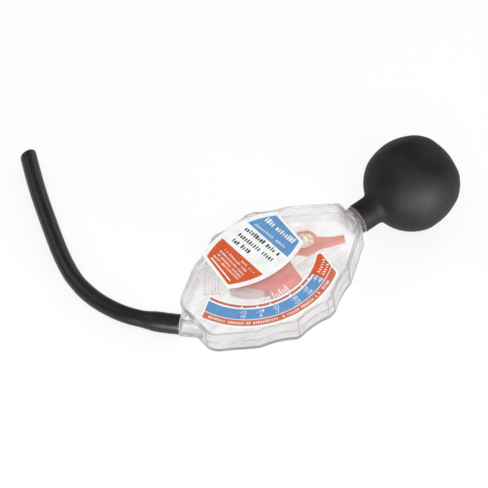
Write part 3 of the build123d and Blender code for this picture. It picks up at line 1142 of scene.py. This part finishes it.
def makeScaleLabel(s):
    def plates(name, outlines, low, high, ink):
        return makePlates(name, outlines, low, high, inks[ink], onScaleFace)

    outline = ringOutline(s["inner"], s["outer"], None, None, 0.0, s["tipRound"], s["edgeRound"])
    film = plates("scaleLabelFilm", [outline], s["foot"], s["film"], "filmWhite")
    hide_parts("scale_label")
    top = s["film"] + s["ink"]
    for name, (inner, outer, start, end, innerRound, outerRound, ink) in scaleBands.items():
        outline = ringOutline(inner, outer, start, end, s["border"], innerRound, outerRound)
        plates(name, [outline], s["film"], top, ink)
    half = s["markHalfTurn"]
    corners = ((s["markFoot"], -half), (s["markTip"], 0), (s["markFoot"], half))
    wedges = [
        [atBearing(radius, bearing + turn) for radius, turn in corners]
        for bearing in s["markBearings"]
    ]
    plates("scaleMarks", wedges, top, top + s["ink"], "filmWhite")


makeScaleLabel(scaleLabel)
print("scale label printed")


def addNumber(bm, text, radius, bearing, s):
    curve = bpy.data.curves.new("number", "FONT")
    curve.body = text
    curve.size = s["numberHeight"] * s["numberScale"] * mm
    curve.align_x = "CENTER"
    curve.align_y = "CENTER"
    curve.offset = s["numberBold"] * mm
    curve.resolution_u = s["numberSteps"]
    holder = bpy.data.objects.new("number", curve)
    scene.collection.objects.link(holder)
    mesh = plainMesh(holder)
    # numbers read from the outside of the dial, with their feet outwards
    turn = radians(bearing)
    reading = acrossCase * -cos(turn) + alongCase * sin(turn)
    upward = -(acrossCase * sin(turn) + alongCase * cos(turn))
    low = s["film"] + 2 * s["ink"]
    mesh.transform(facePlane(onScaleFace(*atBearing(radius, bearing), low), reading, upward))
    bm.from_mesh(mesh)
    bpy.data.objects.remove(holder)
    bpy.data.curves.remove(curve)
    bpy.data.meshes.remove(mesh)


def makeNumbers(s):
    bm = bmesh.new()
    for row, texts in (("innerRow", "innerNumbers"), ("outerRow", "outerNumbers")):
        for text, bearing in zip(s[texts], s["numberBearings"]):
            addNumber(bm, text, s[row], bearing, s)
    return finishPiece("scaleNumbers", bm, inks["filmWhite"], "case")


makeNumbers(scaleLabel)
print("numbers printed")


def arcRow(first, step, count, radius, height, width, thickness, seed, **more):
    # strokes round the dial, with their feet on the radius, pointing inwards
    return {
        "Count": count,
        "Radius": radius * mm,
        "First": radians(90 - first),
        "Step": -radians(step),
        "Turn": pi,
        "Length": height * mm,
        "Width": width * mm,
        "Thickness": thickness * mm,
        "Seed": seed,
        **more,
    }


# rows of plain strokes on the outer band and on the end block
# each row: first bearing, step, count, outer radius, height, width, share filled, unevenness
stripRows = {
    "outerBand": (66.0, 1.5, 60, 41.6, 1.45, 0.5, 0.82, 0.3),
    "blockInner": (49.5, 2.3, 6, 35.3, 1.5, 0.5, 1.0, 0.35),
    "blockOuter": (53.2, 2.15, 5, 37.7, 1.5, 0.5, 1.0, 0.35),
}


def makeStrip(s, parts):
    rows = [
        arcRow(*row, s["ink"], seed, Filled=filled, Vary=vary)
        for seed, (*row, filled, vary) in enumerate(parts.values(), s["firstSeed"])
    ]
    place = facePlane(onScaleFace(0, 0, s["film"] + s["ink"]), acrossCase, alongCase)
    finishRows("scaleStrip", rows, place, inks["filmWhite"], "case")


makeStrip(scaleLabel, stripRows)


# white comb on the float

combSizes = {
    "count": 7,
    "first": 87.0,
    "step": 2.7,
    "outer": 28.0,
    "short": 3.0,
    "long": 4.4,
    "width": 0.5,
    "paint": 0.05,
    "height": 2.81,
    "every": 3,
    "seed": 1,
}


def makeComb(s):
    keys = ("first", "step", "count", "outer", "short", "width", "paint", "seed")
    row = arcRow(*[s[key] for key in keys], Every=s["every"], Extra=s["long"] / s["short"] - 1)
    place = facePlane(onDial(0, 0, s["height"]), acrossCase, alongCase)
    finishRows("combMarks", [row], place, inks["filmWhite"], "vane")


makeComb(combSizes)
print("strokes and comb laid")


# floor, light and camera

# lengths in metres, but the sensor in millimetres
cameraView = {
    "target": (-0.032, -0.0148, 0.0),
    "toCamera": (0.5177, -0.3810, 0.7660),
    "distance": 2.0,
    "widthSeen": 0.2291,
    "sensor": 36.0,
    "clipEnd": 20,
}
# the floor's half width in metres, its paper, and how white each kind of ray finds it
floorLook = {
    "half": 3.0,
    "paper": 0.86,
    "rough": 0.9,
    "gloss": 0.1,
    "lit": 1.04,
    "seen": 0.78,
    "through": 0.5,
    "mirror": 0.75,
}


def addRayStrength(tree, plain, s):
    # a plain value, and another for each kind of ray
    ray = addNode(tree, "ShaderNodeLightPath")
    value = plain
    for kind, key in (("Camera", "seen"), ("Transmission", "through"), ("Glossy", "mirror")):
        part = addMath(tree, "MULTIPLY", ray.outputs["Is " + kind + " Ray"], s[key] - plain)
        value = addMath(tree, "ADD", part, value)
    return value


def makeFloor(s):
    bm = bmesh.new()
    corners = ((-1, -1), (1, -1), (1, 1), (-1, 1))
    bm.faces.new([bm.verts.new((x * s["half"], y * s["half"], 0)) for x, y in corners])
    mesh = bpy.data.meshes.new("floor")
    bm.to_mesh(mesh)
    bm.free()
    paper = (s["paper"], s["paper"], s["paper"], 1)
    material, tree, shader = newMaterial(
        "floorPaper", Base_Color=paper, Roughness=s["rough"], Specular_IOR_Level=s["gloss"]
    )
    white = addNode(tree, "ShaderNodeEmission")
    white.inputs["Strength"].default_value = s["lit"]
    share = addRayStrength(tree, 0.0, s)
    mixShaders(tree, share, shader.outputs["BSDF"], white.outputs["Emission"])
    mesh.materials.append(material)
    floor = bpy.data.objects.new("floor", mesh)
    scene.collection.objects.link(floor)


def aimAt(holder, place, target):
    holder.location = place
    holder.rotation_euler = (Vector(target) - Vector(place)).to_track_quat("-Z", "Y").to_euler()


# name: place in metres, width, height, power, whether it lights and whether it is mirrored
softboxes = {
    "keyBox": ((0.55, -0.35, 0.75), 0.55, 0.55, 5.1, True, False),
    "fillBox": ((-0.75, -0.55, 0.7), 0.8, 0.8, 2.5, True, True),
    "backBox": ((-0.25, 0.85, 0.65), 0.7, 0.7, 2.8, True, True),
    "lowBox": ((0.78, 0.08, 0.13), 0.24, 0.24, 3.0, True, True),
    "stripBox": ((0.74, -0.34, 0.1), 1.4, 0.2, 25.0, False, True),
}
lampAim = (0, -0.01, 0.01)
worldLook = {"plain": 0.37, "seen": 1.0, "through": 0.92, "mirror": 0.3}


def makeLights():
    for name, (place, width, height, power, lights, mirrored) in softboxes.items():
        lamp = bpy.data.lights.new(name, "AREA")
        lamp.shape = "RECTANGLE"
        lamp.size = width
        lamp.size_y = height
        lamp.energy = power
        holder = bpy.data.objects.new(name, lamp)
        holder.visible_diffuse = lights
        holder.visible_glossy = mirrored
        if not lights:
            # the low strip shines on the rubber alone, so the clear face never mirrors it
            rubber = bpy.data.collections.new("rubberPieces")
            for piece in (squeezeBulb, suctionHose):
                rubber.objects.link(piece)
            holder.light_linking.receiver_collection = rubber
        scene.collection.objects.link(holder)
        aimAt(holder, place, lampAim)
    world = bpy.data.worlds.new("studio")
    scene.world = world
    world.use_nodes = True
    tree = world.node_tree
    back = tree.nodes["Background"]
    back.inputs["Color"].default_value = (1, 1, 1, 1)
    strength = addRayStrength(tree, worldLook["plain"], worldLook)
    tree.links.new(strength, back.inputs["Strength"])


def makeCamera(s):
    camera = bpy.data.cameras.new("camera")
    camera.sensor_width = s["sensor"]
    camera.lens = s["sensor"] * s["distance"] / s["widthSeen"]
    camera.clip_end = s["clipEnd"]
    holder = bpy.data.objects.new("camera", camera)
    scene.collection.objects.link(holder)
    place = Vector(s["target"]) + Vector(s["toCamera"]).normalized() * s["distance"]
    aimAt(holder, place, s["target"])
    scene.camera = holder


makeFloor(floorLook)
makeLights()
makeCamera(cameraView)
scene.view_settings.view_transform = "Standard"
print("floor, lights and camera set")
